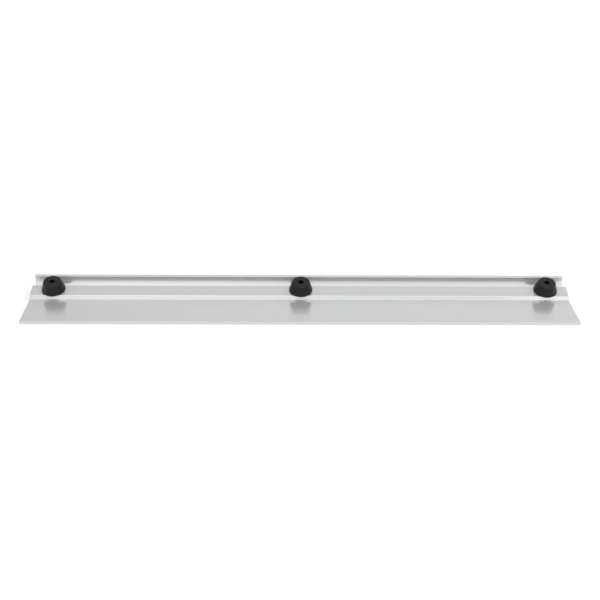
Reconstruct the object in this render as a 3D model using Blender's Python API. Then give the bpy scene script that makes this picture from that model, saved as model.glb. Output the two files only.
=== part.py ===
"""Float blade: an extruded aluminium profile with three conical rubber buffers screwed to its rib.

Frame: +X along the blade, +Y towards the rear wall, +Z up. The origin is the centre of the flat sole.
All sizes are in metres. Section points are (y, z), with y measured back from the blade's front edge.
"""

import math

import bmesh
import bpy
from mathutils import Matrix, Vector

MM = 0.001

# Blade
BLADE_LENGTH = 914 * MM
BLADE_DEPTH = 129.5 * MM
SOLE_THICKNESS = 4.4 * MM
EDGE_RADIUS = 0.6 * MM

# Rib, whose top slopes up towards the rear
RIB_FRONT = 76.2 * MM
RIB_TOP_FRONT = (78.2 * MM, 11.0 * MM)
RIB_TOP_REAR = (103.4 * MM, 17.1 * MM)
RIB_WALL = 3.0 * MM
RIB_SLOPE = math.atan2(
    RIB_TOP_REAR[1] - RIB_TOP_FRONT[1], RIB_TOP_REAR[0] - RIB_TOP_FRONT[0]
)
RIB_NOSE_RADIUS = 1.8 * MM
RIB_CREST_RADIUS = 1.0 * MM
RIB_ROOT_RADIUS = 1.0 * MM

# Rear wall, with a lip along its top
WALL_THICKNESS = 4.1 * MM
WALL_HEIGHT = 24.2 * MM
WALL_COVE_RADIUS = 14.0 * MM
LIP_DEPTH = 6.2 * MM
LIP_HEIGHT = 2.2 * MM
LIP_FALL = 1.4 * MM

# Buffers, each square to the rib's sloping top
BUFFER_INSET = 37.7 * MM
BUFFER_Y = 92.5 * MM
BUFFER_FOOT_RADIUS = 19.2 * MM
BUFFER_RADIUS = 19.9 * MM
BUFFER_TOP_RADIUS = 14.8 * MM
BUFFER_HEIGHT = 17.9 * MM
BUFFER_WIDEST_LEVEL = 1.9 * MM
BUFFER_BORE_RADIUS = 4.6 * MM
BUFFER_FOOT_ROUND = 1.5 * MM
BUFFER_SIDE_ROUND = 2.0 * MM
BUFFER_TOP_ROUND = 1.2 * MM
BUFFER_MOUTH_ROUND = 0.4 * MM
BUFFER_POSITIONS = {
    "left": BUFFER_INSET - BLADE_LENGTH / 2,
    "center": 0.0,
    "right": BLADE_LENGTH / 2 - BUFFER_INSET,
}

# Fixings, named for a 5 mm thread
SCREW_RADIUS = 2.5 * MM
SCREW_LENGTH = 12 * MM
HEAD_RADIUS = 4.25 * MM
HEAD_HEIGHT = 5 * MM
SOCKET_FLATS = 4 * MM
SOCKET_DEPTH = 2.5 * MM
HOLE_CLEARANCE_RADIUS = 2.8 * MM
INSERT_RADIUS = 10 * MM
INSERT_THICKNESS = 1.6 * MM
INSERT_LEVEL = 3 * MM
INSERT_ROUND = 0.3 * MM
WASHER_RADIUS = 4.15 * MM
WASHER_THICKNESS = 1.2 * MM
WASHER_SPLIT = math.radians(9)
NUT_FLANGE_RADIUS = 5 * MM
NUT_FLANGE_THICKNESS = 0.8 * MM
NUT_BARREL_RADIUS = 3.4 * MM
NUT_BULGE_RADIUS = 4.8 * MM
NUT_BULGE_HEIGHT = 2.4 * MM
NUT_BULGE_ROUND = 0.8 * MM
NUT_EDGE_ROUND = 0.2 * MM
NUT_REACH = 8.4 * MM

GAP = 0.3 * MM
CUTTER_OVERRUN = 1 * MM
ARC_STEP = math.radians(15)
TURN_STEPS = 40
SMALL_TURN_STEPS = 24
SHARP_ANGLE = math.radians(35)


def clear_scene():
    for obj in list(bpy.data.objects):
        bpy.data.objects.remove(obj, do_unlink=True)


def principled(name, colour, roughness, metallic):
    material = bpy.data.materials.new(name)
    material.use_nodes = True
    shader = material.node_tree.nodes["Principled BSDF"]
    shader.inputs["Base Color"].default_value = (*colour, 1)
    shader.inputs["Roughness"].default_value = roughness
    shader.inputs["Metallic"].default_value = metallic
    return material


def add_object(name, mesh, parent=None):
    obj = bpy.data.objects.new(name, mesh)
    obj.parent = parent
    bpy.context.scene.collection.objects.link(obj)
    return obj


def mesh_from(name, shape, material=None):
    """Turns a bmesh into a mesh, smooth over its round faces and sharp at its corners."""
    bmesh.ops.recalc_face_normals(shape, faces=shape.faces)
    mesh = bpy.data.meshes.new(name)
    shape.to_mesh(mesh)
    shape.free()
    mesh.shade_smooth()
    mesh.set_sharp_from_angle(angle=SHARP_ANGLE)
    if material:
        mesh.materials.append(material)
    return mesh


def rounded(corners):
    """Outline through corners (a, b, radius), each corner with a radius replaced by an arc."""
    outline = []
    count = len(corners)
    for i, (a, b, radius) in enumerate(corners):
        corner = Vector((a, b))
        if radius <= 0:
            outline.append(corner)
            continue
        before = (Vector(corners[i - 1][:2]) - corner).normalized()
        after = (Vector(corners[(i + 1) % count][:2]) - corner).normalized()
        half = before.angle(after) / 2
        centre = corner + (before + after).normalized() * radius / math.sin(half)
        start = corner + before * radius / math.tan(half) - centre
        turn = math.pi - 2 * half
        side = 1 if before.cross(after) < 0 else -1
        steps = max(2, round(turn / ARC_STEP))
        for k in range(steps + 1):
            outline.append(centre + Matrix.Rotation(side * turn * k / steps, 2) @ start)
    return outline


def prism(outline, length):
    """Bar of the given (y, z) section, centred on x = 0."""
    shape = bmesh.new()
    near = [shape.verts.new((-length / 2, y, z)) for y, z in outline]
    face = shape.faces.new(near)
    pushed = bmesh.ops.extrude_face_region(shape, geom=[face])["geom"]
    moved = [item for item in pushed if isinstance(item, bmesh.types.BMVert)]
    bmesh.ops.translate(shape, vec=(length, 0, 0), verts=moved)
    return shape


def turned(outline, steps=TURN_STEPS):
    """Solid turned about the local z axis from a closed (r, z) outline that stays off the axis."""
    shape = bmesh.new()
    rings = []
    for k in range(steps):
        angle = 2 * math.pi * k / steps
        rings.append(
            [
                shape.verts.new((r * math.cos(angle), r * math.sin(angle), z))
                for r, z in outline
            ]
        )
    for k in range(steps):
        here, there = rings[k], rings[(k + 1) % steps]
        for j in range(len(outline)):
            n = (j + 1) % len(outline)
            shape.faces.new((here[j], there[j], there[n], here[n]))
    return shape


def cylinder(radius, low, high, steps=SMALL_TURN_STEPS):
    """Plain cylinder on the local z axis, from z = low to z = high."""
    shape = bmesh.new()
    bmesh.ops.create_cone(
        shape,
        cap_ends=True,
        segments=steps,
        radius1=radius,
        radius2=radius,
        depth=high - low,
        matrix=Matrix.Translation((0, 0, (low + high) / 2)),
    )
    return shape


def cut(obj, cutter):
    """Cuts the cutter out of the object, and keeps the cutter as a hidden guide."""
    cutter.hide_render = True
    cutter.display_type = "WIRE"
    boolean = obj.modifiers.new(f"cut_{cutter.name}", "BOOLEAN")
    boolean.operation = "DIFFERENCE"
    boolean.object = cutter


def blade_section():
    """Outer section of the blade: sole, hollow rib with a sloping top, and rear wall with its lip."""
    wall_front = BLADE_DEPTH - WALL_THICKNESS
    lip_front = BLADE_DEPTH - LIP_DEPTH
    lip_under = WALL_HEIGHT - LIP_HEIGHT
    return rounded(
        [
            (0, 0, EDGE_RADIUS),
            (BLADE_DEPTH, 0, EDGE_RADIUS),
            (BLADE_DEPTH, WALL_HEIGHT, EDGE_RADIUS),
            (lip_front, WALL_HEIGHT, EDGE_RADIUS),
            (lip_front, lip_under, EDGE_RADIUS),
            (wall_front, lip_under - LIP_FALL, EDGE_RADIUS),
            (wall_front, SOLE_THICKNESS, WALL_COVE_RADIUS),
            (RIB_TOP_REAR[0], SOLE_THICKNESS, RIB_ROOT_RADIUS),
            (*RIB_TOP_REAR, RIB_CREST_RADIUS),
            (*RIB_TOP_FRONT, RIB_NOSE_RADIUS),
            (RIB_FRONT, SOLE_THICKNESS, RIB_ROOT_RADIUS),
            (0, SOLE_THICKNESS, EDGE_RADIUS),
        ]
    )


def rib_top(y, offset=0.0):
    """Height at y of the rib's sloping top, or of a line that far below it."""
    rise = (y - RIB_TOP_FRONT[0]) * math.tan(RIB_SLOPE)
    return RIB_TOP_FRONT[1] + rise - offset / math.cos(RIB_SLOPE)


def hollow_section():
    """The open space along the inside of the rib."""
    front = RIB_TOP_FRONT[0] + RIB_WALL
    rear = RIB_TOP_REAR[0] - RIB_WALL
    return rounded(
        [
            (front, SOLE_THICKNESS, EDGE_RADIUS),
            (rear, SOLE_THICKNESS, EDGE_RADIUS),
            (rear, rib_top(rear, RIB_WALL), EDGE_RADIUS),
            (front, rib_top(front, RIB_WALL), EDGE_RADIUS),
        ]
    )


def buffer_outline():
    """Half section of the rubber body, with its bore and the groove that holds the steel insert."""
    groove_low = INSERT_LEVEL - GAP
    groove_high = INSERT_LEVEL + INSERT_THICKNESS + GAP
    recess_high = GAP + NUT_FLANGE_THICKNESS + GAP
    foot = GAP
    top = foot + BUFFER_HEIGHT
    return rounded(
        [
            (NUT_FLANGE_RADIUS + GAP, foot, 0),
            (BUFFER_FOOT_RADIUS, foot, BUFFER_FOOT_ROUND),
            (BUFFER_RADIUS, foot + BUFFER_WIDEST_LEVEL, BUFFER_SIDE_ROUND),
            (BUFFER_TOP_RADIUS, top, BUFFER_TOP_ROUND),
            (BUFFER_BORE_RADIUS, top, BUFFER_MOUTH_ROUND),
            (BUFFER_BORE_RADIUS, groove_high, 0),
            (INSERT_RADIUS + GAP, groove_high, 0),
            (INSERT_RADIUS + GAP, groove_low, 0),
            (HOLE_CLEARANCE_RADIUS, groove_low, 0),
            (HOLE_CLEARANCE_RADIUS, recess_high, 0),
            (NUT_FLANGE_RADIUS + GAP, recess_high, 0),
        ]
    )


def insert_outline():
    """Half section of the steel disc moulded into the rubber, which takes the screw's load."""
    high = INSERT_LEVEL + INSERT_THICKNESS
    return rounded(
        [
            (HOLE_CLEARANCE_RADIUS, INSERT_LEVEL, 0),
            (INSERT_RADIUS, INSERT_LEVEL, INSERT_ROUND),
            (INSERT_RADIUS, high, INSERT_ROUND),
            (HOLE_CLEARANCE_RADIUS, high, 0),
        ]
    )


def nut_outline():
    """Half section of a blind rivet nut: flange, barrel, and the bulge set below the rib's wall."""
    flange_low = GAP
    flange_high = flange_low + NUT_FLANGE_THICKNESS
    bulge_high = -RIB_WALL - GAP
    bulge_low = bulge_high - NUT_BULGE_HEIGHT
    return rounded(
        [
            (HOLE_CLEARANCE_RADIUS, -NUT_REACH, 0),
            (NUT_BARREL_RADIUS, -NUT_REACH, NUT_EDGE_ROUND),
            (NUT_BARREL_RADIUS, bulge_low, 0),
            (NUT_BULGE_RADIUS, bulge_low, NUT_BULGE_ROUND),
            (NUT_BULGE_RADIUS, bulge_high, NUT_BULGE_ROUND),
            (NUT_BARREL_RADIUS, bulge_high, 0),
            (NUT_BARREL_RADIUS, flange_low, 0),
            (NUT_FLANGE_RADIUS, flange_low, 0),
            (NUT_FLANGE_RADIUS, flange_high, NUT_EDGE_ROUND),
            (HOLE_CLEARANCE_RADIUS, flange_high, 0),
        ]
    )


def spring_washer():
    """Split ring whose two ends stand a little apart along the axis."""
    low = INSERT_LEVEL + INSERT_THICKNESS + GAP
    end_offset = 0.1 * MM
    shape = bmesh.new()
    rings = []
    for k in range(SMALL_TURN_STEPS + 1):
        share = k / SMALL_TURN_STEPS
        angle = WASHER_SPLIT / 2 + share * (2 * math.pi - WASHER_SPLIT)
        lift = end_offset * share
        section = [
            (HOLE_CLEARANCE_RADIUS, low + lift),
            (WASHER_RADIUS, low + lift),
            (WASHER_RADIUS, low + lift + WASHER_THICKNESS - end_offset),
            (HOLE_CLEARANCE_RADIUS, low + lift + WASHER_THICKNESS - end_offset),
        ]
        rings.append(
            [
                shape.verts.new((r * math.cos(angle), r * math.sin(angle), z))
                for r, z in section
            ]
        )
    for here, there in zip(rings, rings[1:]):
        for j in range(4):
            n = (j + 1) % 4
            shape.faces.new((here[j], there[j], there[n], here[n]))
    shape.faces.new(rings[0])
    shape.faces.new(list(reversed(rings[-1])))
    return shape


def screw():
    """Socket head cap screw, a stepped bar with a chamfered head and a hexagonal socket."""
    seat = INSERT_LEVEL + INSERT_THICKNESS + WASHER_THICKNESS + 2 * GAP
    crown = seat + HEAD_HEIGHT
    tip = seat - SCREW_LENGTH
    chamfer = 0.5 * MM
    socket_floor = crown - SOCKET_DEPTH
    socket_radius = SOCKET_FLATS / math.sqrt(3)
    outline = [
        (SCREW_RADIUS - chamfer, tip),
        (SCREW_RADIUS, tip + chamfer),
        (SCREW_RADIUS, seat),
        (HEAD_RADIUS, seat),
        (HEAD_RADIUS, crown - chamfer),
        (HEAD_RADIUS - chamfer, crown),
    ]
    shape = bmesh.new()
    rings = []
    for r, z in outline:
        ring = []
        for k in range(SMALL_TURN_STEPS):
            angle = 2 * math.pi * k / SMALL_TURN_STEPS
            ring.append(shape.verts.new((r * math.cos(angle), r * math.sin(angle), z)))
        rings.append(ring)
    for lower, upper in zip(rings, rings[1:]):
        for k in range(SMALL_TURN_STEPS):
            n = (k + 1) % SMALL_TURN_STEPS
            shape.faces.new((lower[k], lower[n], upper[n], upper[k]))
    shape.faces.new(list(reversed(rings[0])))
    mouth, floor = [], []
    for k in range(6):
        angle = math.pi / 3 * k
        x, y = socket_radius * math.cos(angle), socket_radius * math.sin(angle)
        mouth.append(shape.verts.new((x, y, crown)))
        floor.append(shape.verts.new((x, y, socket_floor)))
    per_side = SMALL_TURN_STEPS // 6
    for k in range(6):
        n = (k + 1) % 6
        shape.faces.new((mouth[k], floor[k], floor[n], mouth[n]))
        rim = [rings[-1][(per_side * k + j) % SMALL_TURN_STEPS] for j in range(per_side + 1)]
        shape.faces.new([*rim, mouth[n], mouth[k]])
    shape.faces.new(floor)
    return shape


def build_blade(material):
    """The extrusion, with the hollow cut along its rib."""
    body = prism(blade_section(), BLADE_LENGTH)
    blade = add_object("blade_profile", mesh_from("blade_profile", body, material))
    blade.location.y = -BLADE_DEPTH / 2
    space = prism(hollow_section(), BLADE_LENGTH + 2 * CUTTER_OVERRUN)
    hollow = add_object("rib_hollow_cutter", mesh_from("rib_hollow_cutter", space))
    hollow.location = blade.location
    cut(blade, hollow)
    return blade


def fixing_frame(side, x):
    """Empty on the rib's sloping top where one buffer stands, its z axis square to that surface."""
    frame = bpy.data.objects.new(f"fixing_{side}", None)
    frame.location = (x, BUFFER_Y - BLADE_DEPTH / 2, rib_top(BUFFER_Y))
    frame.rotation_euler = (RIB_SLOPE, 0, 0)
    bpy.context.scene.collection.objects.link(frame)
    return frame


def main():
    clear_scene()
    aluminium = principled("mill_aluminium", (0.72, 0.73, 0.74), 0.3, 1.0)
    rubber = principled("black_rubber", (0.03, 0.03, 0.032), 0.65, 0.0)
    zinc = principled("zinc_plated_steel", (0.6, 0.61, 0.62), 0.35, 1.0)
    oxide = principled("black_oxide_steel", (0.05, 0.05, 0.055), 0.4, 1.0)

    blade = build_blade(aluminium)
    pieces = {
        "buffer": mesh_from("buffer", turned(buffer_outline()), rubber),
        "buffer_insert": mesh_from("buffer_insert", turned(insert_outline(), SMALL_TURN_STEPS), zinc),
        "spring_washer": mesh_from("spring_washer", spring_washer(), zinc),
        "socket_screw": mesh_from("socket_screw", screw(), oxide),
        "rivet_nut": mesh_from("rivet_nut", turned(nut_outline(), SMALL_TURN_STEPS), zinc),
    }
    drill = cylinder(NUT_BARREL_RADIUS + GAP, -RIB_WALL - CUTTER_OVERRUN, CUTTER_OVERRUN)
    nut_hole = mesh_from("nut_hole_cutter", drill)
    for side, x in BUFFER_POSITIONS.items():
        frame = fixing_frame(side, x)
        for kind, mesh in pieces.items():
            add_object(f"{kind}_{side}", mesh, frame)
        cut(blade, add_object(f"nut_hole_cutter_{side}", nut_hole, frame))


main()
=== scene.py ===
"""Looks of the float blade: finely rounded aluminium extrusion, moulded rubber buffers and their fixings.

Everything is in metres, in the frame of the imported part: +X along the blade, +Y towards its rear wall,
+Z up, with the sole at z = 0. Section points are (y, z), with y measured back from the front edge.
"""

import math

import bmesh
import bpy
from mathutils import Matrix, Vector


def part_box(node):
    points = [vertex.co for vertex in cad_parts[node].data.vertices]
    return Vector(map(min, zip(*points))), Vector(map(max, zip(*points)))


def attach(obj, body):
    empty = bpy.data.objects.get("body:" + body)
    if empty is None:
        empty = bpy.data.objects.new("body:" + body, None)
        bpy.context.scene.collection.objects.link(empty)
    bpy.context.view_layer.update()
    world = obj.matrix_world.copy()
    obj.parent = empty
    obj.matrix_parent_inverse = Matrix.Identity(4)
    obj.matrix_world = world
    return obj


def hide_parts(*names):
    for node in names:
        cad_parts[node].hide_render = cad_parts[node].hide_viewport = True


MM = 0.001

# Blade section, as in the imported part
SOLE_THICKNESS = 4.4 * MM
EDGE_RADIUS = 0.6 * MM
RIB_FRONT = 76.2 * MM
RIB_TOP_FRONT = (78.2 * MM, 11.0 * MM)
RIB_TOP_REAR = (103.4 * MM, 17.1 * MM)
RIB_WALL = 3.0 * MM
RIB_SLOPE = math.atan2(
    RIB_TOP_REAR[1] - RIB_TOP_FRONT[1], RIB_TOP_REAR[0] - RIB_TOP_FRONT[0]
)
RIB_NOSE_RADIUS = 1.8 * MM
RIB_CREST_RADIUS = 1.0 * MM
RIB_ROOT_RADIUS = 1.0 * MM
WALL_THICKNESS = 4.1 * MM
WALL_COVE_RADIUS = 14.0 * MM
LIP_DEPTH = 6.2 * MM
LIP_HEIGHT = 2.2 * MM
LIP_FALL = 1.4 * MM

# Buffers and fixings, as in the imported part
SIDES = ("left", "center", "right")
BUFFER_Y = 92.5 * MM
BUFFER_FOOT_RADIUS = 19.2 * MM
BUFFER_RADIUS = 19.9 * MM
BUFFER_TOP_RADIUS = 14.8 * MM
BUFFER_HEIGHT = 17.9 * MM
BUFFER_WIDEST_LEVEL = 1.9 * MM
BUFFER_BORE_RADIUS = 4.6 * MM
BUFFER_FOOT_ROUND = 1.5 * MM
BUFFER_TOP_ROUND = 1.2 * MM
BUFFER_MOUTH_ROUND = 0.4 * MM
GAP = 0.3 * MM
SCREW_RADIUS = 2.5 * MM
SCREW_LENGTH = 12 * MM
HEAD_RADIUS = 4.25 * MM
HEAD_HEIGHT = 5 * MM
SOCKET_FLATS = 4 * MM
SOCKET_DEPTH = 2.5 * MM
HOLE_CLEARANCE_RADIUS = 2.8 * MM
INSERT_RADIUS = 10 * MM
INSERT_THICKNESS = 1.6 * MM
INSERT_LEVEL = 3 * MM
WASHER_RADIUS = 4.15 * MM
WASHER_THICKNESS = 1.2 * MM
WASHER_SPLIT = math.radians(9)
NUT_FLANGE_RADIUS = 5 * MM
NUT_FLANGE_THICKNESS = 0.8 * MM
NUT_BARREL_RADIUS = 3.4 * MM
NUT_BULGE_RADIUS = 4.8 * MM
NUT_BULGE_HEIGHT = 2.4 * MM
NUT_REACH = 8.4 * MM
CUTTER_OVERRUN = 1 * MM

# Finer details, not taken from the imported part
DEBURR = 0.25 * MM
BORE_ROUND = 0.15 * MM
GROOVE_ROUND = 0.2 * MM
FLASH_HEIGHT = 0.12 * MM
FLASH_ROUND = 0.05 * MM
INSERT_RIM_ROUND = 0.4 * MM
INSERT_BORE_ROUND = 0.2 * MM
WASHER_ROUND = 0.12 * MM
WASHER_END_OFFSET = 0.1 * MM
THREAD_PITCH = 0.8 * MM
THREAD_DEPTH = 0.45 * MM
THREAD_TAPER_TURNS = 1.2
SHANK_LENGTH = 1.2 * MM
HEAD_SOFTENING = 0.2 * MM
KNURL_DEPTH = 0.12 * MM
SOCKET_LEAD_IN = 0.25 * MM
DRILL_POINT = 0.8 * MM
NUT_THREAD_DEPTH = 0.2 * MM
NUT_THREAD_HALF_WIDTH = THREAD_PITCH * 0.3
NUT_TIP_ROUND = 0.25 * MM
NUT_NECK_ROUND = 0.2 * MM
NUT_BULGE_ROUND = 0.9 * MM
NUT_FLANGE_LOW_ROUND = 0.15 * MM
NUT_FLANGE_HIGH_ROUND = 0.3 * MM
NUT_MOUTH_ROUND = 0.1 * MM

# Finishes: darkest and lightest colour, and least and greatest roughness
MILL_COLOURS = ((0.585, 0.59, 0.595), (0.62, 0.625, 0.63))
MILL_ROUGHNESS = (0.17, 0.21)
SAWN_COLOURS = ((0.7, 0.705, 0.71), (0.82, 0.825, 0.83))
SAWN_ROUGHNESS = (0.34, 0.46)
SAW_MARKS_SHIFT = (0, 0.05, -0.16)
SAW_MARKS_SCALE = 330
RUBBER_COLOURS = ((0.003, 0.0033, 0.0036), (0.006, 0.0066, 0.007))
RUBBER_ROUGHNESS = (0.33, 0.41)
ZINC_COLOURS = ((0.56, 0.58, 0.61), (0.68, 0.7, 0.72))
ZINC_ROUGHNESS = (0.24, 0.38)
OXIDE_COLOURS = ((0.03, 0.031, 0.034), (0.06, 0.061, 0.066))
OXIDE_ROUGHNESS = (0.34, 0.48)
FLOOR_COLOURS = ((0.97, 0.97, 0.97), (0.985, 0.985, 0.985))

# Camera
CAMERA_PLACE = Vector((-0.0363, -1.387, 0.7673))
CAMERA_PITCH = math.radians(28.62)
CAMERA_YAW = math.radians(1.43)
CAMERA_ROLL = math.radians(0.82)
CAMERA_LENS_MM = 56.34
SENSOR_MM = 36.0
CLIP_NEAR = 0.05
CLIP_FAR = 100

# Light: strength of the surroundings, first by degrees over the part from the front horizon to the rear
# one, then by how far a direction points to the right, from -1 to 1, in front of the part and behind it
SKY_OVER = (
    (0, 1.5),
    (20, 1.55),
    (45, 1.68),
    (70, 1.98),
    (88, 1.4),
    (105, 0.95),
    (124, 0.79),
    (140, 0.85),
    (154, 0.95),
    (180, 1.0),
)
SKY_ACROSS_FRONT = (
    (-1, 0.4),
    (-0.6, 0.7),
    (-0.27, 0.76),
    (-0.2, 1.06),
    (-0.1, 1.02),
    (0.08, 0.88),
    (0.3, 0.86),
    (0.75, 0.75),
    (1, 0.4),
)
SKY_ACROSS_REAR = (
    (-1, 0.3),
    (-0.6, 0.6),
    (-0.3, 0.84),
    (0, 1.0),
    (0.3, 1.05),
    (0.75, 0.75),
    (1, 0.3),
)
SKY_PEAK = 2.5  # above every strength, because a colour ramp holds 0 to 1
SKY_SHARE_REAR = ((65, 0.0), (115, 1.0))  # how much the rear spread counts, by the same degrees
SOFTBOX_PLACE = (1.3, -2.0, 0.22)
SOFTBOX_TARGET = (0, 0, 0.03)
SOFTBOX_SIZE = (0.9, 0.3)
SOFTBOX_WATTS = 0.9

# Floor
FLOOR_REACH = 30
FLOOR_WALL_HEIGHT = 6

# Mesh fineness
ARC_STEP = math.radians(6)
WASHER_ARC_STEP = math.radians(30)
TURN_STEPS = 96
SMALL_TURN_STEPS = 48
THREAD_ROWS_PER_PITCH = 6
SHARP_ANGLE = math.radians(32)

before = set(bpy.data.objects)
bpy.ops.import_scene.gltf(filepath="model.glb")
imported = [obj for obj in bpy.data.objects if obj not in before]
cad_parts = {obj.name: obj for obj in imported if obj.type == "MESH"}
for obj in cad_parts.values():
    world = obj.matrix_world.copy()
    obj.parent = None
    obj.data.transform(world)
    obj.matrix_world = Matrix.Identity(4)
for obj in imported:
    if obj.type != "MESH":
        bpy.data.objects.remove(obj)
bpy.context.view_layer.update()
blade_low, blade_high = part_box("blade_profile")
BLADE_DEPTH = blade_high.y - blade_low.y
WALL_HEIGHT = blade_high.z - blade_low.z


# ---------------------------------------------------------------- mesh helpers


def rounded(corners, step=ARC_STEP):
    """Outline through corners (a, b, radius), each corner with a radius replaced by an arc."""
    outline = []
    count = len(corners)
    for i, (a, b, radius) in enumerate(corners):
        corner = Vector((a, b))
        if radius <= 0:
            outline.append(corner)
            continue
        before = (Vector(corners[i - 1][:2]) - corner).normalized()
        after = (Vector(corners[(i + 1) % count][:2]) - corner).normalized()
        half = before.angle(after) / 2
        centre = corner + (before + after).normalized() * radius / math.sin(half)
        start = corner + before * radius / math.tan(half) - centre
        turn = math.pi - 2 * half
        side = 1 if before.cross(after) < 0 else -1
        steps = max(2, round(turn / step))
        for k in range(steps + 1):
            outline.append(centre + Matrix.Rotation(side * turn * k / steps, 2) @ start)
    return outline


def shifted(outline, distance):
    """Closed outline moved along its own normals: inwards for an anticlockwise one."""
    moved = []
    count = len(outline)
    for i, point in enumerate(outline):
        along = (outline[(i + 1) % count] - outline[i - 1]).normalized()
        moved.append(point + Vector((-along.y, along.x)) * distance)
    return moved


def finished(shape, name):
    """Turns a bmesh into an object whose flats stay flat and whose rounds are smooth."""
    bmesh.ops.recalc_face_normals(shape, faces=shape.faces)
    mesh = bpy.data.meshes.new(name)
    shape.to_mesh(mesh)
    shape.free()
    mesh.shade_smooth()
    mesh.set_sharp_from_angle(angle=SHARP_ANGLE)
    obj = bpy.data.objects.new(name, mesh)
    bpy.context.scene.collection.objects.link(obj)
    weighted = obj.modifiers.new("flat_faces", "WEIGHTED_NORMAL")
    weighted.mode = "FACE_AREA"
    weighted.weight = 100
    weighted.keep_sharp = True
    return obj


def settled(obj, drop=()):
    """Applies the object's modifiers to its mesh, then removes the given helper objects."""
    graph = bpy.context.evaluated_depsgraph_get()
    mesh = bpy.data.meshes.new_from_object(obj.evaluated_get(graph), depsgraph=graph)
    mesh.name = obj.name
    obj.modifiers.clear()
    obj.data = mesh
    for helper in drop:
        bpy.data.objects.remove(helper, do_unlink=True)
    return obj


def turned(outline, steps=TURN_STEPS):
    """Solid turned about the local z axis from a closed (r, z) outline that stays off the axis."""
    shape = bmesh.new()
    rings = []
    for k in range(steps):
        angle = 2 * math.pi * k / steps
        cosine, sine = math.cos(angle), math.sin(angle)
        rings.append([shape.verts.new((r * cosine, r * sine, z)) for r, z in outline])
    for k in range(steps):
        here, there = rings[k], rings[(k + 1) % steps]
        for j in range(len(outline)):
            n = (j + 1) % len(outline)
            shape.faces.new((here[j], there[j], there[n], here[n]))
    return shape


# ---------------------------------------------------------------- materials


class Nodes:
    """A new material, with short ways to add and join its nodes."""

    def __init__(self, name):
        self.material = bpy.data.materials.new(name)
        self.material.use_nodes = True
        self.tree = self.material.node_tree
        self.shader = self.tree.nodes["Principled BSDF"]

    def add(self, kind, **settings):
        node = self.tree.nodes.new(kind)
        for key, value in settings.items():
            setattr(node, key, value)
        return node

    def link(self, source, target):
        self.tree.links.new(source, target)

    def place(self, scale):
        """Object coordinates stretched by a scale for each axis."""
        coordinates = self.add("ShaderNodeTexCoord")
        mapping = self.add("ShaderNodeMapping")
        mapping.inputs["Scale"].default_value = scale
        self.link(coordinates.outputs["Object"], mapping.inputs["Vector"])
        return mapping.outputs["Vector"]

    def noise(self, scale=(1, 1, 1), detail=3.0, roughness=0.55, size=1.0):
        """Noise texture, stretched by a scale for each axis and made finer by the size number."""
        texture = self.add("ShaderNodeTexNoise")
        texture.inputs["Scale"].default_value = size
        texture.inputs["Detail"].default_value = detail
        texture.inputs["Roughness"].default_value = roughness
        self.link(self.place(scale), texture.inputs["Vector"])
        return texture.outputs["Fac"]

    def spread(self, value, low, high, start=0.3, end=0.7):
        """Maps a texture's middle range onto low to high."""
        ranged = self.add("ShaderNodeMapRange")
        ranged.inputs["From Min"].default_value = start
        ranged.inputs["From Max"].default_value = end
        ranged.inputs["To Min"].default_value = low
        ranged.inputs["To Max"].default_value = high
        self.link(value, ranged.inputs["Value"])
        return ranged.outputs["Result"]

    def tint(self, value, dark, light):
        """Colour between dark and light, picked by a 0 to 1 value."""
        mix = self.add("ShaderNodeMix", data_type="RGBA")
        mix.inputs["A"].default_value = (*dark, 1)
        mix.inputs["B"].default_value = (*light, 1)
        self.link(value, mix.inputs["Factor"])
        return mix.outputs["Result"]

    def bump(self, height, strength, distance):
        node = self.add("ShaderNodeBump")
        node.inputs["Strength"].default_value = strength
        node.inputs["Distance"].default_value = distance
        self.link(height, node.inputs["Height"])
        return node.outputs["Normal"]

    def set(self, **values):
        for key, value in values.items():
            self.shader.inputs[key.replace("_", " ")].default_value = value


def extruded_aluminium():
    """Satin mill finish: fine die lines along x, faint streaks, slightly uneven sheen."""
    nodes = Nodes("extruded_aluminium")
    lines = nodes.noise(scale=(3, 1400, 1400), detail=2)
    streaks = nodes.noise(scale=(1.2, 160, 160), detail=4)
    patches = nodes.noise(scale=(5, 14, 14), detail=3)
    colour = nodes.tint(nodes.spread(streaks, 0, 1), *MILL_COLOURS)
    nodes.link(colour, nodes.shader.inputs["Base Color"])
    nodes.link(nodes.spread(patches, *MILL_ROUGHNESS), nodes.shader.inputs["Roughness"])
    nodes.link(nodes.bump(lines, strength=0.12, distance=0.00003), nodes.shader.inputs["Normal"])
    nodes.set(Metallic=0.48, Anisotropic=0.8, Anisotropic_Rotation=0.25)
    tangent = nodes.add("ShaderNodeTangent", direction_type="UV_MAP", uv_map="grain")
    nodes.link(tangent.outputs["Tangent"], nodes.shader.inputs["Tangent"])
    return nodes.material


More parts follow.
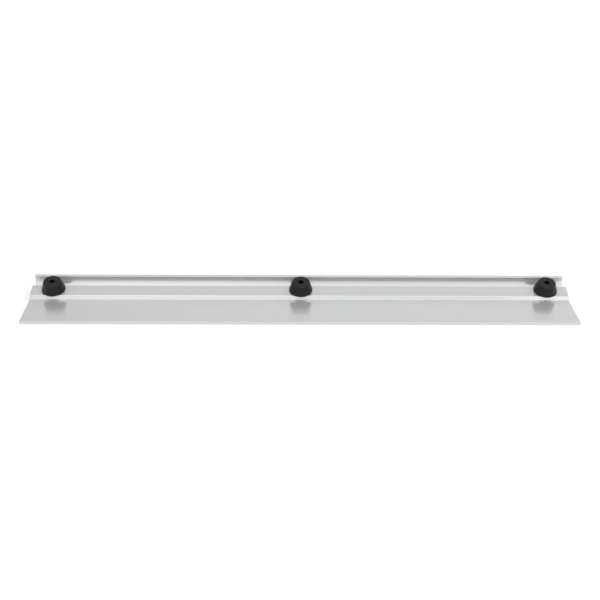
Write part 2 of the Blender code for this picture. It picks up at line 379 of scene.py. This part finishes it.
def sawn_aluminium():
    """Cut end of the extrusion: curved marks of a circular saw, duller than the drawn faces."""
    nodes = Nodes("sawn_aluminium")
    coordinates = nodes.add("ShaderNodeTexCoord")
    mapping = nodes.add("ShaderNodeMapping")
    mapping.inputs["Location"].default_value = SAW_MARKS_SHIFT
    nodes.link(coordinates.outputs["Object"], mapping.inputs["Vector"])
    kerf = nodes.add("ShaderNodeTexWave", wave_type="RINGS", rings_direction="X")
    kerf.inputs["Scale"].default_value = SAW_MARKS_SCALE
    kerf.inputs["Distortion"].default_value = 2.5
    kerf.inputs["Detail"].default_value = 3
    kerf.inputs["Detail Scale"].default_value = 2
    nodes.link(mapping.outputs["Vector"], kerf.inputs["Vector"])
    colour = nodes.tint(kerf.outputs["Fac"], *SAWN_COLOURS)
    nodes.link(colour, nodes.shader.inputs["Base Color"])
    sheen = nodes.spread(kerf.outputs["Fac"], *SAWN_ROUGHNESS, start=0, end=1)
    nodes.link(sheen, nodes.shader.inputs["Roughness"])
    marks = nodes.bump(kerf.outputs["Fac"], strength=0.5, distance=0.00006)
    nodes.link(marks, nodes.shader.inputs["Normal"])
    nodes.set(Metallic=1.0)
    return nodes.material


def moulded_rubber():
    """Black moulded rubber: fine pitted skin with a faint grey bloom."""
    nodes = Nodes("moulded_rubber")
    pits = nodes.noise(size=1500, detail=4)
    bloom = nodes.noise(size=110, detail=5, roughness=0.65)
    colour = nodes.tint(nodes.spread(bloom, 0, 1), *RUBBER_COLOURS)
    nodes.link(colour, nodes.shader.inputs["Base Color"])
    nodes.link(nodes.spread(bloom, *RUBBER_ROUGHNESS), nodes.shader.inputs["Roughness"])
    nodes.link(nodes.bump(pits, strength=0.35, distance=0.00005), nodes.shader.inputs["Normal"])
    nodes.set(Specular_IOR_Level=0.31)
    return nodes.material


def zinc_plate():
    """Bright zinc plate, slightly blue, with fine spangle."""
    nodes = Nodes("zinc_plate")
    spangle = nodes.noise(size=900, detail=3)
    colour = nodes.tint(nodes.spread(spangle, 0, 1), *ZINC_COLOURS)
    nodes.link(colour, nodes.shader.inputs["Base Color"])
    nodes.link(nodes.spread(spangle, *ZINC_ROUGHNESS), nodes.shader.inputs["Roughness"])
    nodes.link(nodes.bump(spangle, strength=0.15, distance=0.00003), nodes.shader.inputs["Normal"])
    nodes.set(Metallic=1.0)
    return nodes.material


def black_oxide():
    """Black oxide on machined steel: dark, with a low oily sheen."""
    nodes = Nodes("black_oxide")
    wear = nodes.noise(size=1300, detail=4)
    colour = nodes.tint(nodes.spread(wear, 0, 1), *OXIDE_COLOURS)
    nodes.link(colour, nodes.shader.inputs["Base Color"])
    nodes.link(nodes.spread(wear, *OXIDE_ROUGHNESS), nodes.shader.inputs["Roughness"])
    nodes.link(nodes.bump(wear, strength=0.12, distance=0.00002), nodes.shader.inputs["Normal"])
    nodes.set(Metallic=1.0)
    return nodes.material


# ---------------------------------------------------------------- blade


def blade_section():
    """Outer section of the blade: sole, hollow rib with a sloping top, and rear wall with its lip."""
    wall_front = BLADE_DEPTH - WALL_THICKNESS
    lip_front = BLADE_DEPTH - LIP_DEPTH
    lip_under = WALL_HEIGHT - LIP_HEIGHT
    return rounded(
        [
            (0, 0, EDGE_RADIUS),
            (BLADE_DEPTH, 0, EDGE_RADIUS),
            (BLADE_DEPTH, WALL_HEIGHT, EDGE_RADIUS),
            (lip_front, WALL_HEIGHT, EDGE_RADIUS),
            (lip_front, lip_under, EDGE_RADIUS),
            (wall_front, lip_under - LIP_FALL, EDGE_RADIUS),
            (wall_front, SOLE_THICKNESS, WALL_COVE_RADIUS),
            (RIB_TOP_REAR[0], SOLE_THICKNESS, RIB_ROOT_RADIUS),
            (*RIB_TOP_REAR, RIB_CREST_RADIUS),
            (*RIB_TOP_FRONT, RIB_NOSE_RADIUS),
            (RIB_FRONT, SOLE_THICKNESS, RIB_ROOT_RADIUS),
            (0, SOLE_THICKNESS, EDGE_RADIUS),
        ]
    )


def rib_top(y, offset=0.0):
    """Height at y of the rib's sloping top, or of a line that far below it."""
    rise = (y - RIB_TOP_FRONT[0]) * math.tan(RIB_SLOPE)
    return RIB_TOP_FRONT[1] + rise - offset / math.cos(RIB_SLOPE)


def hollow_section():
    """The open space along the inside of the rib."""
    front = RIB_TOP_FRONT[0] + RIB_WALL
    rear = RIB_TOP_REAR[0] - RIB_WALL
    return rounded(
        [
            (front, SOLE_THICKNESS, EDGE_RADIUS),
            (rear, SOLE_THICKNESS, EDGE_RADIUS),
            (rear, rib_top(rear, RIB_WALL), EDGE_RADIUS),
            (front, rib_top(front, RIB_WALL), EDGE_RADIUS),
        ]
    )


def drawn_wall(shape, uv, outline, inwards):
    """Skin of one section outline along the blade, with a small rounded break at each cut end."""
    corner = math.radians(45)
    breaks = (
        (0.0, DEBURR),
        (DEBURR * (1 - math.sin(corner)), DEBURR * (1 - math.cos(corner))),
        (DEBURR, 0.0),
    )
    stations = [(blade_low.x + back, inset) for back, inset in breaks]
    stations += [(blade_high.x - back, inset) for back, inset in reversed(breaks)]
    rings = []
    for x, inset in stations:
        ring = shifted(outline, inset * inwards)
        rings.append([shape.verts.new((x, blade_low.y + y, z)) for y, z in ring])
    lengths = [0.0]
    for i, point in enumerate(outline):
        lengths.append(lengths[-1] + (outline[(i + 1) % len(outline)] - point).length)
    for near, far, (x_near, _), (x_far, _) in zip(rings, rings[1:], stations, stations[1:]):
        for j in range(len(outline)):
            n = (j + 1) % len(outline)
            face = shape.faces.new((near[j], near[n], far[n], far[j]))
            across = (lengths[j], lengths[j + 1], lengths[j + 1], lengths[j])
            for loop, x, v in zip(face.loops, (x_near, x_near, x_far, x_far), across):
                loop[uv].uv = (x, v)
    return rings[0], rings[-1]


def loop_edges(ring):
    edges = []
    for i, vert in enumerate(ring):
        other = ring[(i + 1) % len(ring)]
        edges.append(next(e for e in vert.link_edges if e.other_vert(vert) is other))
    return edges


def cap(shape, uv, rings):
    """Closes one cut end between the outer outline and the hollow."""
    edges = [edge for ring in rings for edge in loop_edges(ring)]
    filled = bmesh.ops.triangle_fill(shape, edges=edges, use_beauty=True, normal=(1, 0, 0))
    for face in filled["geom"]:
        if isinstance(face, bmesh.types.BMFace):
            face.material_index = 1
            for loop in face.loops:
                loop[uv].uv = loop.vert.co.yz


def make_blade(materials, holders):
    """The extrusion, with a hole through the rib's top for each rivet nut."""
    shape = bmesh.new()
    uv = shape.loops.layers.uv.new("grain")
    outer = drawn_wall(shape, uv, blade_section(), 1)
    inner = drawn_wall(shape, uv, hollow_section(), -1)
    for outer_ring, inner_ring in zip(outer, inner):
        cap(shape, uv, (outer_ring, inner_ring))
    blade = finished(shape, "blade_extrusion")
    for material in materials:
        blade.data.materials.append(material)
    cutters = []
    for holder in holders:
        drill = bmesh.new()
        bmesh.ops.create_cone(
            drill,
            cap_ends=True,
            segments=SMALL_TURN_STEPS,
            radius1=NUT_BARREL_RADIUS + GAP,
            radius2=NUT_BARREL_RADIUS + GAP,
            depth=RIB_WALL + 2 * CUTTER_OVERRUN,
            matrix=holder @ Matrix.Translation((0, 0, -RIB_WALL / 2)),
        )
        cutter_mesh = bpy.data.meshes.new("drill")
        drill.to_mesh(cutter_mesh)
        drill.free()
        cutter = bpy.data.objects.new("drill", cutter_mesh)
        bpy.context.scene.collection.objects.link(cutter)
        boolean = blade.modifiers.new("nut_hole", "BOOLEAN")
        boolean.object = cutter
        blade.modifiers.move(len(blade.modifiers) - 1, 0)
        cutters.append(cutter)
    return settled(blade, cutters)


# ---------------------------------------------------------------- buffers and fixings


def buffer_outline():
    """Half section of the rubber body, with a faint flash line round its rim and softened edges."""
    groove_low = INSERT_LEVEL - GAP
    groove_high = INSERT_LEVEL + INSERT_THICKNESS + GAP
    recess_high = 2 * GAP + NUT_FLANGE_THICKNESS
    foot = GAP
    top = foot + BUFFER_HEIGHT
    widest = foot + BUFFER_WIDEST_LEVEL
    side_radius = BUFFER_RADIUS - FLASH_HEIGHT
    return rounded(
        [
            (NUT_FLANGE_RADIUS + GAP, foot, GROOVE_ROUND),
            (BUFFER_FOOT_RADIUS, foot, BUFFER_FOOT_ROUND),
            (side_radius, widest - FLASH_HEIGHT, 0),
            (BUFFER_RADIUS, widest, FLASH_ROUND),
            (side_radius, widest + FLASH_HEIGHT, 0),
            (BUFFER_TOP_RADIUS, top, BUFFER_TOP_ROUND),
            (BUFFER_BORE_RADIUS, top, BUFFER_MOUTH_ROUND),
            (BUFFER_BORE_RADIUS, groove_high, BORE_ROUND),
            (INSERT_RADIUS + GAP, groove_high, GROOVE_ROUND),
            (INSERT_RADIUS + GAP, groove_low, GROOVE_ROUND),
            (HOLE_CLEARANCE_RADIUS, groove_low, BORE_ROUND),
            (HOLE_CLEARANCE_RADIUS, recess_high, BORE_ROUND),
            (NUT_FLANGE_RADIUS + GAP, recess_high, BORE_ROUND),
        ]
    )


def insert_outline():
    """Half section of the steel disc moulded into the rubber."""
    high = INSERT_LEVEL + INSERT_THICKNESS
    return rounded(
        [
            (HOLE_CLEARANCE_RADIUS, INSERT_LEVEL, INSERT_BORE_ROUND),
            (INSERT_RADIUS, INSERT_LEVEL, INSERT_RIM_ROUND),
            (INSERT_RADIUS, high, INSERT_RIM_ROUND),
            (HOLE_CLEARANCE_RADIUS, high, INSERT_BORE_ROUND),
        ]
    )


def nut_outline():
    """Half section of a blind rivet nut: flange, barrel, and the bulge that grips under the rib's wall."""
    flange_low = GAP
    flange_high = flange_low + NUT_FLANGE_THICKNESS
    bulge_high = -RIB_WALL - GAP
    bulge_low = bulge_high - NUT_BULGE_HEIGHT
    inside = HOLE_CLEARANCE_RADIUS
    crest = inside - NUT_THREAD_DEPTH
    threads = []
    turns = int((flange_high + NUT_REACH) / THREAD_PITCH) - 1
    for k in range(turns):
        middle = flange_high - (k + 1) * THREAD_PITCH
        threads.append((inside, middle + NUT_THREAD_HALF_WIDTH, 0))
        threads.append((crest, middle, 0))
        threads.append((inside, middle - NUT_THREAD_HALF_WIDTH, 0))
    return rounded(
        [
            (inside, -NUT_REACH, 0),
            (NUT_BARREL_RADIUS, -NUT_REACH, NUT_TIP_ROUND),
            (NUT_BARREL_RADIUS, bulge_low, NUT_NECK_ROUND),
            (NUT_BULGE_RADIUS, bulge_low, NUT_BULGE_ROUND),
            (NUT_BULGE_RADIUS, bulge_high, NUT_BULGE_ROUND),
            (NUT_BARREL_RADIUS, bulge_high, 0),
            (NUT_BARREL_RADIUS, flange_low, 0),
            (NUT_FLANGE_RADIUS, flange_low, NUT_FLANGE_LOW_ROUND),
            (NUT_FLANGE_RADIUS, flange_high, NUT_FLANGE_HIGH_ROUND),
            (inside, flange_high, NUT_MOUTH_ROUND),
            *threads,
        ]
    )


def split_washer():
    """Spring washer: a ring of softened square section, cut through, with its ends a little apart."""
    low = INSERT_LEVEL + INSERT_THICKNESS + GAP
    high = low + WASHER_THICKNESS - WASHER_END_OFFSET
    section = rounded(
        [
            (HOLE_CLEARANCE_RADIUS, low, WASHER_ROUND),
            (WASHER_RADIUS, low, WASHER_ROUND),
            (WASHER_RADIUS, high, WASHER_ROUND),
            (HOLE_CLEARANCE_RADIUS, high, WASHER_ROUND),
        ],
        step=WASHER_ARC_STEP,
    )
    shape = bmesh.new()
    rings = []
    for k in range(SMALL_TURN_STEPS + 1):
        share = k / SMALL_TURN_STEPS
        angle = WASHER_SPLIT / 2 + share * (2 * math.pi - WASHER_SPLIT)
        cosine, sine = math.cos(angle), math.sin(angle)
        lift = WASHER_END_OFFSET * share
        rings.append([shape.verts.new((r * cosine, r * sine, z + lift)) for r, z in section])
    for here, there in zip(rings, rings[1:]):
        for j in range(len(section)):
            n = (j + 1) % len(section)
            shape.faces.new((here[j], there[j], there[n], here[n]))
    shape.faces.new(rings[0])
    shape.faces.new(list(reversed(rings[-1])))
    return shape


def thread_radius(turn_share, height):
    """Radius of the rolled thread at a share of a turn and a height above the tip."""
    phase = (height / THREAD_PITCH - turn_share) % 1.0
    ridge = 1 - abs(2 * phase - 1)
    taper = min(1.0, height / (THREAD_TAPER_TURNS * THREAD_PITCH))
    return SCREW_RADIUS - THREAD_DEPTH * (1 - ridge * taper)


def cap_screw():
    """Socket head cap screw: rolled thread, knurled head with a rounded crown, hexagonal socket."""
    seat = INSERT_LEVEL + INSERT_THICKNESS + WASHER_THICKNESS + 2 * GAP
    crown = seat + HEAD_HEIGHT
    tip = seat - SCREW_LENGTH
    shape = bmesh.new()
    rings = []

    def ring(radius_at, height):
        verts = []
        for k in range(SMALL_TURN_STEPS):
            share = k / SMALL_TURN_STEPS
            angle = 2 * math.pi * share
            radius = radius_at(share, k)
            verts.append(shape.verts.new((radius * math.cos(angle), radius * math.sin(angle), height)))
        rings.append(verts)

    threaded = SCREW_LENGTH - SHANK_LENGTH
    rows = round(threaded / (THREAD_PITCH / THREAD_ROWS_PER_PITCH))
    for i in range(rows + 1):
        height = threaded * i / rows
        ring(lambda share, k, h=height: thread_radius(share, h), tip + height)
    ring(lambda share, k: SCREW_RADIUS, seat - SHANK_LENGTH / 2)
    ring(lambda share, k: SCREW_RADIUS, seat)
    ring(lambda share, k: HEAD_RADIUS - HEAD_SOFTENING, seat)
    ring(lambda share, k: HEAD_RADIUS - KNURL_DEPTH * (k % 2), seat + HEAD_SOFTENING)
    ring(lambda share, k: HEAD_RADIUS - KNURL_DEPTH * (k % 2), crown - 3 * HEAD_SOFTENING)
    ring(lambda share, k: HEAD_RADIUS - HEAD_SOFTENING, crown - HEAD_SOFTENING)
    ring(lambda share, k: HEAD_RADIUS - 2 * HEAD_SOFTENING, crown)
    for lower, upper in zip(rings, rings[1:]):
        for k in range(SMALL_TURN_STEPS):
            n = (k + 1) % SMALL_TURN_STEPS
            shape.faces.new((lower[k], lower[n], upper[n], upper[k]))
    shape.faces.new(list(reversed(rings[0])))

    socket_radius = SOCKET_FLATS / math.sqrt(3)
    hexes = []
    for radius, z in (
        (socket_radius + SOCKET_LEAD_IN, crown),
        (socket_radius, crown - SOCKET_LEAD_IN),
        (socket_radius, crown - SOCKET_DEPTH),
    ):
        corners = []
        for k in range(6):
            angle = math.pi / 3 * k
            corners.append(shape.verts.new((radius * math.cos(angle), radius * math.sin(angle), z)))
        hexes.append(corners)
    for upper, lower in zip(hexes, hexes[1:]):
        for k in range(6):
            n = (k + 1) % 6
            shape.faces.new((upper[k], lower[k], lower[n], upper[n]))
    bottom = shape.verts.new((0, 0, crown - SOCKET_DEPTH - DRILL_POINT))
    per_side = SMALL_TURN_STEPS // 6
    for k in range(6):
        n = (k + 1) % 6
        rim = [rings[-1][(per_side * k + j) % SMALL_TURN_STEPS] for j in range(per_side + 1)]
        shape.faces.new([*rim, hexes[0][n], hexes[0][k]])
        shape.faces.new((hexes[-1][k], bottom, hexes[-1][n]))
    return shape


def buffer_place(side):
    """Matrix of one buffer's foot on the rib's sloping top."""
    low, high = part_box(f"buffer_{side}")
    middle = (low.x + high.x) / 2
    foot = Vector((middle, blade_low.y + BUFFER_Y, rib_top(BUFFER_Y)))
    return Matrix.Translation(foot) @ Matrix.Rotation(RIB_SLOPE, 4, "X")


def fit(piece, node, material=None):
    """Gives a piece its material, attaches it to the root body and hides the imported node it stands for.
    """
    if material:
        piece.data.materials.append(material)
    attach(piece, "root")
    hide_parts(node)


def make_fixings(places):
    """Every buffer with its moulded-in insert, screw, spring washer and rivet nut."""
    rubber, zinc, oxide = moulded_rubber(), zinc_plate(), black_oxide()
    kinds = {
        "buffer": ("rubber_buffer", turned(buffer_outline()), rubber, "black_rubber"),
        "buffer_insert": ("steel_insert", turned(insert_outline()), zinc, "zinc_plated_steel"),
        "spring_washer": ("split_washer", split_washer(), zinc, "zinc_plated_steel"),
        "socket_screw": ("cap_screw", cap_screw(), oxide, "black_oxide_steel"),
        "rivet_nut": ("blind_nut", turned(nut_outline(), SMALL_TURN_STEPS), zinc, "zinc_plated_steel"),
    }
    for node, (name, shape, material, slot) in kinds.items():
        for side, place in places.items():
            piece = finished(shape.copy(), f"{name}_{side}")
            piece.data.transform(place)
            settled(piece)
            fit(piece, f"{node}_{side}", material)
        shape.free()


# ---------------------------------------------------------------- stage


def make_floor():
    """Plain pale floor, with low walls of the same paint far off at its sides and rear."""
    shape = bmesh.new()
    bmesh.ops.create_grid(shape, x_segments=1, y_segments=1, size=FLOOR_REACH)
    edges = [edge for edge in shape.edges if max(vert.co.y for vert in edge.verts) > 0]
    walls = bmesh.ops.extrude_edge_only(shape, edges=edges)["geom"]
    tops = [item for item in walls if isinstance(item, bmesh.types.BMVert)]
    bmesh.ops.translate(shape, verts=tops, vec=(0, 0, FLOOR_WALL_HEIGHT))
    mesh = bpy.data.meshes.new("floor")
    shape.to_mesh(mesh)
    shape.free()
    floor = bpy.data.objects.new("floor", mesh)
    bpy.context.scene.collection.objects.link(floor)
    nodes = Nodes("pale_floor")
    mottle = nodes.noise(size=3, detail=2)
    colour = nodes.tint(nodes.spread(mottle, 0, 1), *FLOOR_COLOURS)
    nodes.link(colour, nodes.shader.inputs["Base Color"])
    nodes.set(Roughness=0.9, Specular_IOR_Level=0.1)
    mesh.materials.append(nodes.material)


def make_softbox():
    """Low softbox in front of the part and to its right."""
    light = bpy.data.lights.new("softbox", "AREA")
    light.shape = "RECTANGLE"
    light.size, light.size_y = SOFTBOX_SIZE
    light.energy = SOFTBOX_WATTS
    obj = bpy.data.objects.new("softbox", light)
    obj.location = SOFTBOX_PLACE
    obj.rotation_mode = "QUATERNION"
    aim = Vector(SOFTBOX_TARGET) - Vector(SOFTBOX_PLACE)
    obj.rotation_quaternion = aim.to_track_quat("-Z", "Y")
    bpy.context.scene.collection.objects.link(obj)


def make_sky():
    """White studio surroundings: a long soft overhead light, with dimmer walls that the metal mirrors."""
    world = bpy.data.worlds.new("studio")
    world.use_nodes = True
    tree = world.node_tree

    def math_node(operation, first, second):
        node = tree.nodes.new("ShaderNodeMath")
        node.operation = operation
        for socket, value in zip(node.inputs, (first, second)):
            if isinstance(value, bpy.types.NodeSocket):
                tree.links.new(value, socket)
            else:
                socket.default_value = value
        return node.outputs["Value"]

    def ramp(share, stops):
        """Strength along a 0 to 1 share, eased between its stops."""
        node = tree.nodes.new("ShaderNodeValToRGB")
        node.color_ramp.interpolation = "EASE"
        marks = node.color_ramp.elements
        while len(marks) < len(stops):
            marks.new(1)
        for mark, (position, strength) in zip(marks, stops):
            mark.position = position
            mark.color = (*(strength / SKY_PEAK,) * 3, 1)
        tree.links.new(share, node.inputs["Fac"])
        return math_node("MULTIPLY", node.outputs["Color"], SKY_PEAK)

    direction = tree.nodes.new("ShaderNodeTexCoord")
    split = tree.nodes.new("ShaderNodeSeparateXYZ")
    tree.links.new(direction.outputs["Generated"], split.inputs["Vector"])
    forwards = math_node("MULTIPLY", split.outputs["Y"], -1)
    upwards = math_node("MAXIMUM", split.outputs["Z"], 0)
    over = math_node("DIVIDE", math_node("ARCTAN2", upwards, forwards), math.pi)
    across = math_node("MULTIPLY", math_node("ADD", split.outputs["X"], 1), 0.5)
    front = ramp(across, [((right + 1) / 2, level) for right, level in SKY_ACROSS_FRONT])
    rear = ramp(across, [((right + 1) / 2, level) for right, level in SKY_ACROSS_REAR])
    share = ramp(over, [(degrees / 180, level) for degrees, level in SKY_SHARE_REAR])
    change = math_node("MULTIPLY", math_node("SUBTRACT", rear, front), share)
    strength = math_node(
        "MULTIPLY",
        ramp(over, [(degrees / 180, level) for degrees, level in SKY_OVER]),
        math_node("ADD", front, change),
    )
    surroundings = tree.nodes["Background"]
    surroundings.inputs["Color"].default_value = (1, 1, 1, 1)
    tree.links.new(strength, surroundings.inputs["Strength"])
    bpy.context.scene.world = world


def make_camera():
    lens = bpy.data.cameras.new("camera")
    lens.lens = CAMERA_LENS_MM
    lens.sensor_width = SENSOR_MM
    lens.clip_start = CLIP_NEAR
    lens.clip_end = CLIP_FAR
    camera = bpy.data.objects.new("camera", lens)
    camera.matrix_world = (
        Matrix.Translation(CAMERA_PLACE)
        @ Matrix.Rotation(-CAMERA_YAW, 4, "Z")
        @ Matrix.Rotation(math.pi / 2 - CAMERA_PITCH, 4, "X")
        @ Matrix.Rotation(CAMERA_ROLL, 4, "Z")
    )
    bpy.context.scene.collection.objects.link(camera)
    bpy.context.scene.camera = camera


make_camera()
buffer_places = {side: buffer_place(side) for side in SIDES}
blade = make_blade((extruded_aluminium(), sawn_aluminium()), buffer_places.values())
fit(blade, "blade_profile")
make_fixings(buffer_places)
make_floor()
make_softbox()
make_sky()
bpy.context.scene.view_settings.view_transform = "Standard"
